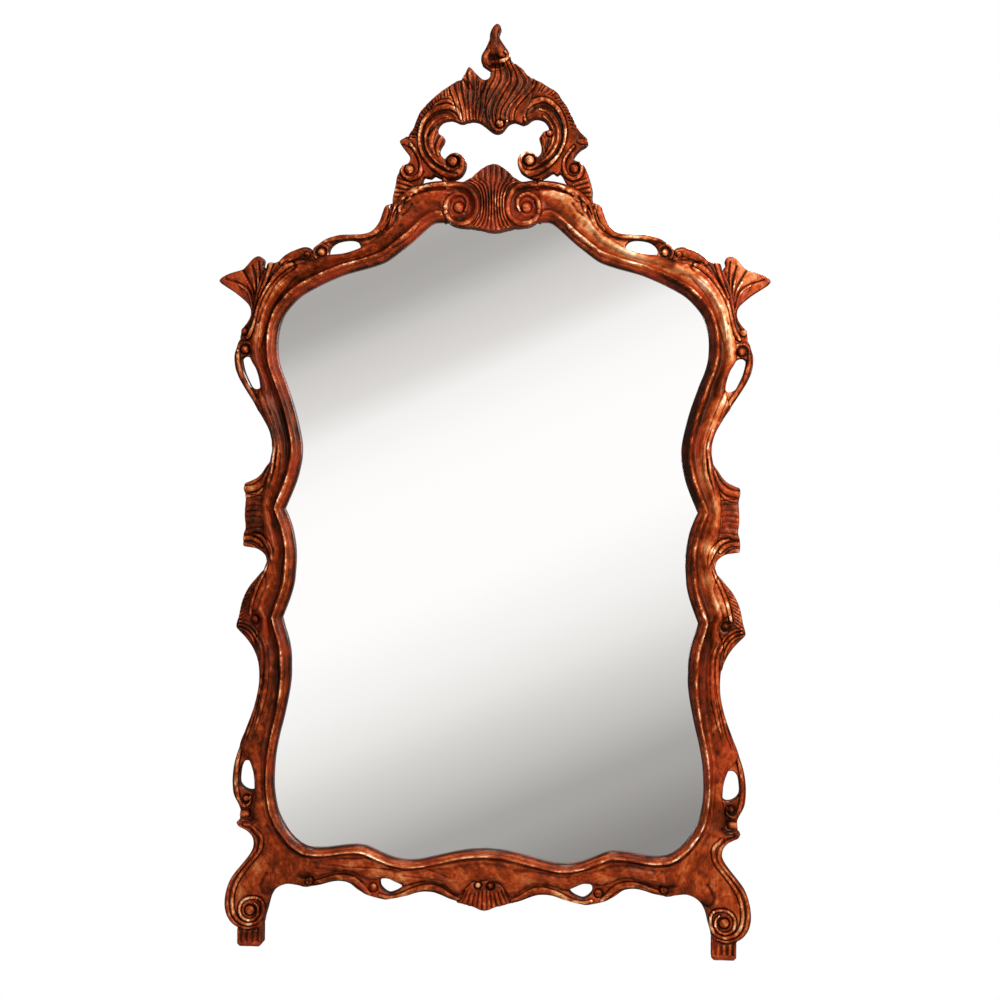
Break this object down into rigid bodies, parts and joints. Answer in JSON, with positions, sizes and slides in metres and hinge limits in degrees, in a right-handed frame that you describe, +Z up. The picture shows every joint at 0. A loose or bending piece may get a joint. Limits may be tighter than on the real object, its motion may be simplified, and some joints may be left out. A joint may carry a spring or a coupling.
{
  "type": "wall mirror",
  "caption": "Tall shaped wall mirror in a carved walnut frame with scroll feet and a pierced scroll crest.",
  "frame": {"origin": "on the wall, midway between the two hanging rings, at the level of their bars", "axes": "+Z up, +X to the right as seen from the front, +Y into the wall; the glass faces -Y"},
  "size_m": [0.8948, 0.046, 1.5],
  "materials": {
    "carved_walnut": "waxed, dark in the hollows",
    "mirror_glass": "silvered float glass",
    "back_board": "bare plywood",
    "back_softwood": "bare pine",
    "brass_hardware": "dull, tarnished",
    "steel_screws": "plain",
    "felt": "matt felt"
  },
  "bodies": {
    "frame": {"rail_scroll_left": "carved_walnut", "rail_scroll_right": "carved_walnut", "corner_leaf_left": "carved_walnut", "corner_leaf_right": "carved_walnut", "corner_fan_left": "carved_walnut", "corner_fan_right": "carved_walnut", "side_scroll_left": "carved_walnut", "side_scroll_right": "carved_walnut", "side_tablet_left": "carved_walnut", "side_tablet_right": "carved_walnut", "side_leaf_left": "carved_walnut", "side_leaf_right": "carved_walnut", "low_scroll_left": "carved_walnut", "low_scroll_right": "carved_walnut", "bottom_scroll_left": "carved_walnut", "bottom_scroll_right": "carved_walnut", "top_volute_left": "carved_walnut", "top_volute_right": "carved_walnut", "foot_left": "carved_walnut", "foot_right": "carved_walnut", "foot_pad_left": "carved_walnut", "foot_pad_right": "carved_walnut", "top_rail_left": "carved_walnut", "top_rail_right": "carved_walnut", "stile_left": "carved_walnut", "stile_right": "carved_walnut", "bottom_rail": "carved_walnut", "bottom_shell": "carved_walnut", "keystone_shell": "carved_walnut", "crest_scroll_left": "carved_walnut", "crest_scroll_right": "carved_walnut", "crest_console_left": "carved_walnut", "crest_console_right": "carved_walnut", "crest_centre": "carved_walnut", "finial": "carved_walnut", "crest_brace_left": "back_softwood", "crest_brace_right": "back_softwood", "crown_batten": "back_softwood", "crest_batten": "back_softwood", "glazing_blocks": "back_softwood", "joint_keys": "back_softwood", "mirror_plate": "mirror_glass", "backing_board": "back_board", "crest_screws": "steel_screws", "hanger_screws": "steel_screws", "button_screws": "steel_screws", "wall_bumpers": "felt", "hanger_strap_left": "brass_hardware", "hanger_strap_right": "brass_hardware"},
    "ring_left": {"hanger_ring_left": "brass_hardware"},
    "ring_right": {"hanger_ring_right": "brass_hardware"},
    "button_1": {"turn_button_1": "brass_hardware"},
    "button_2": {"turn_button_2": "brass_hardware"},
    "button_3": {"turn_button_3": "brass_hardware"},
    "button_4": {"turn_button_4": "brass_hardware"},
    "button_5": {"turn_button_5": "brass_hardware"},
    "button_6": {"turn_button_6": "brass_hardware"},
    "button_7": {"turn_button_7": "brass_hardware"},
    "button_8": {"turn_button_8": "brass_hardware"}
  },
  "joints": [
    {"name": "ring_left_swing", "type": "hinge", "parent": "frame", "child": "ring_left", "pos_m": [-0.34422, -0.00467, 0], "axis": [1, 0, 0], "range_deg": [0, 180]},
    {"name": "ring_right_swing", "type": "hinge", "parent": "frame", "child": "ring_right", "pos_m": [0.34422, -0.00467, 0], "axis": [1, 0, 0], "range_deg": [0, 180]},
    {"name": "button_1_swivel", "type": "hinge", "parent": "frame", "child": "button_1", "pos_m": [-0.19177, -0.0065, 0.27236], "axis": [0, 1, 0], "range_deg": [-90, 90]},
    {"name": "button_2_swivel", "type": "hinge", "parent": "frame", "child": "button_2", "pos_m": [0.19177, -0.0065, 0.27236], "axis": [0, 1, 0], "range_deg": [-90, 90]},
    {"name": "button_3_swivel", "type": "hinge", "parent": "frame", "child": "button_3", "pos_m": [-0.35797, -0.0065, 0.06554], "axis": [0, 1, 0], "range_deg": [-90, 90]},
    {"name": "button_4_swivel", "type": "hinge", "parent": "frame", "child": "button_4", "pos_m": [0.35797, -0.0065, 0.06554], "axis": [0, 1, 0], "range_deg": [-90, 90]},
    {"name": "button_5_swivel", "type": "hinge", "parent": "frame", "child": "button_5", "pos_m": [-0.3418, -0.0065, -0.39844], "axis": [0, 1, 0], "range_deg": [-90, 90]},
    {"name": "button_6_swivel", "type": "hinge", "parent": "frame", "child": "button_6", "pos_m": [0.3418, -0.0065, -0.39844], "axis": [0, 1, 0], "range_deg": [-90, 90]},
    {"name": "button_7_swivel", "type": "hinge", "parent": "frame", "child": "button_7", "pos_m": [-0.10711, -0.0065, -0.73065], "axis": [0, 1, 0], "range_deg": [-90, 90]},
    {"name": "button_8_swivel", "type": "hinge", "parent": "frame", "child": "button_8", "pos_m": [0.10711, -0.0065, -0.73065], "axis": [0, 1, 0], "range_deg": [-90, 90]}
  ]
}
